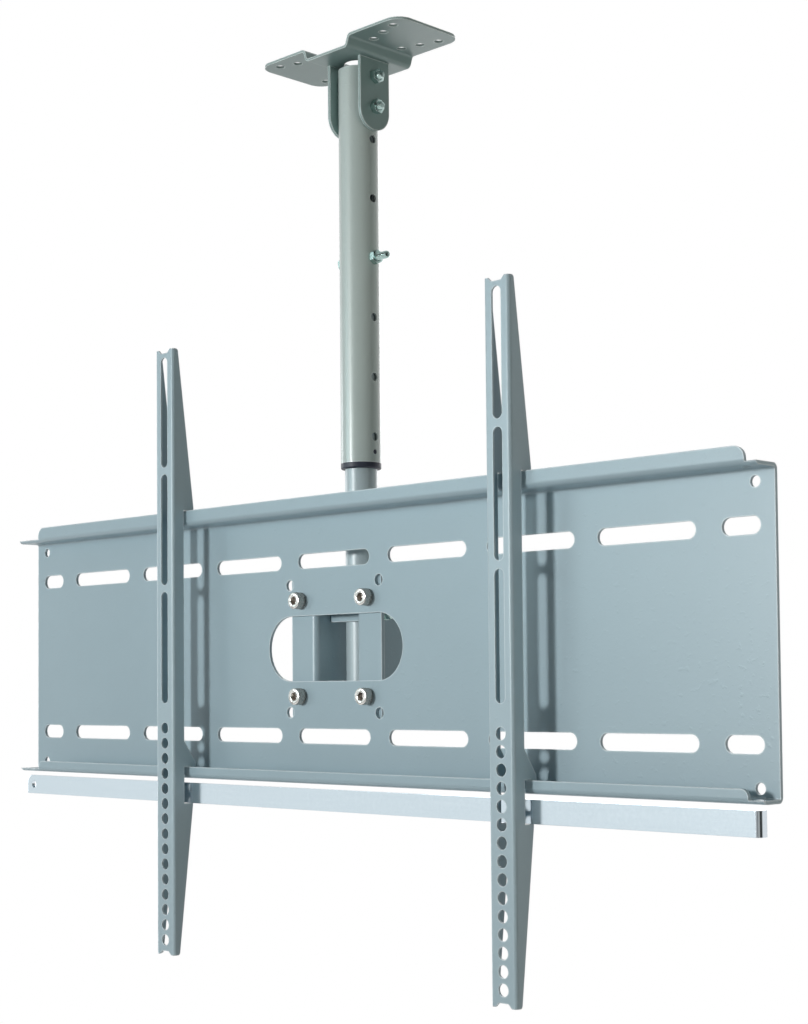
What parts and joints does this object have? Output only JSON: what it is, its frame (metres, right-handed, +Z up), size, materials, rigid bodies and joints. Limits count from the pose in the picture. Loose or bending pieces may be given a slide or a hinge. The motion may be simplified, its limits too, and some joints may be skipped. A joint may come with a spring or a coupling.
{
  "type": "tv ceiling mount",
  "caption": "Ceiling mount for a television: bolted ceiling plate, telescopic pole, tilting head, long slotted plate with hook-on channel arms and a flat locking bar.",
  "frame": {"origin": "middle of the ceiling plate's hole pattern on the plane of its top contact faces, on the pole's axis", "axes": "+Z up to the ceiling, +X along the wall plate's length to the right as seen from the television, -Y to the television"},
  "size_m": [0.8, 0.099, 0.72],
  "materials": {
    "coat_head": "silver-grey powder coat, fairly glossy",
    "coat_pole": "silver-grey powder coat, fairly glossy",
    "coat_yoke": "silver-grey powder coat, fairly glossy",
    "coat_bracket": "silver-grey powder coat, fairly glossy",
    "coat_plate": "silver-grey powder coat, fairly glossy",
    "coat_arm": "silver-grey powder coat, fairly glossy",
    "bush_plastic": "moulded, dull",
    "zinc_small": "zinc plated",
    "zinc_screw": "zinc plated",
    "zinc_bar": "bright zinc plated"
  },
  "bodies": {
    "ceiling_mount": {"ceiling_plate": "coat_head", "left_pole_tab": "coat_head", "right_pole_tab": "coat_head", "tab_bolts": "zinc_small", "tab_nuts": "zinc_small", "outer_pole": "coat_pole", "pole_bush": "bush_plastic", "height_bolt": "zinc_small", "height_nut": "zinc_small"},
    "drop_pole": {"inner_pole": "coat_pole", "pivot_yoke": "coat_yoke"},
    "tilt_head": {"left_tilt_bracket": "coat_bracket", "right_tilt_bracket": "coat_bracket", "pivot_bolt": "zinc_small", "pivot_washers": "zinc_small", "pivot_nut": "zinc_small", "wall_plate": "coat_plate", "plate_screws": "zinc_screw", "plate_washers": "zinc_small", "plate_nuts": "zinc_small"},
    "left_arm": {"left_arm": "coat_arm"},
    "right_arm": {"right_arm": "coat_arm"},
    "security_bar": {"security_bar": "zinc_bar"}
  },
  "joints": [
    {"name": "height_slide", "type": "slide", "parent": "ceiling_mount", "child": "drop_pole", "axis": [0, 0, 1], "range_m": [-0.094, 0]},
    {"name": "tilt_pivot", "type": "hinge", "parent": "drop_pole", "child": "tilt_head", "pos_m": [0, 0, -0.444], "axis": [1, 0, 0], "range_deg": [-10, 10]},
    {"name": "left_arm_slide", "type": "slide", "parent": "tilt_head", "child": "left_arm", "axis": [1, 0, 0], "range_m": [-0.182, 0.117]},
    {"name": "right_arm_slide", "type": "slide", "parent": "tilt_head", "child": "right_arm", "axis": [1, 0, 0], "range_m": [-0.15, 0.169]},
    {"name": "security_bar_slide", "type": "slide", "parent": "tilt_head", "child": "security_bar", "axis": [1, 0, 0], "range_m": [0, 0.8]}
  ]
}
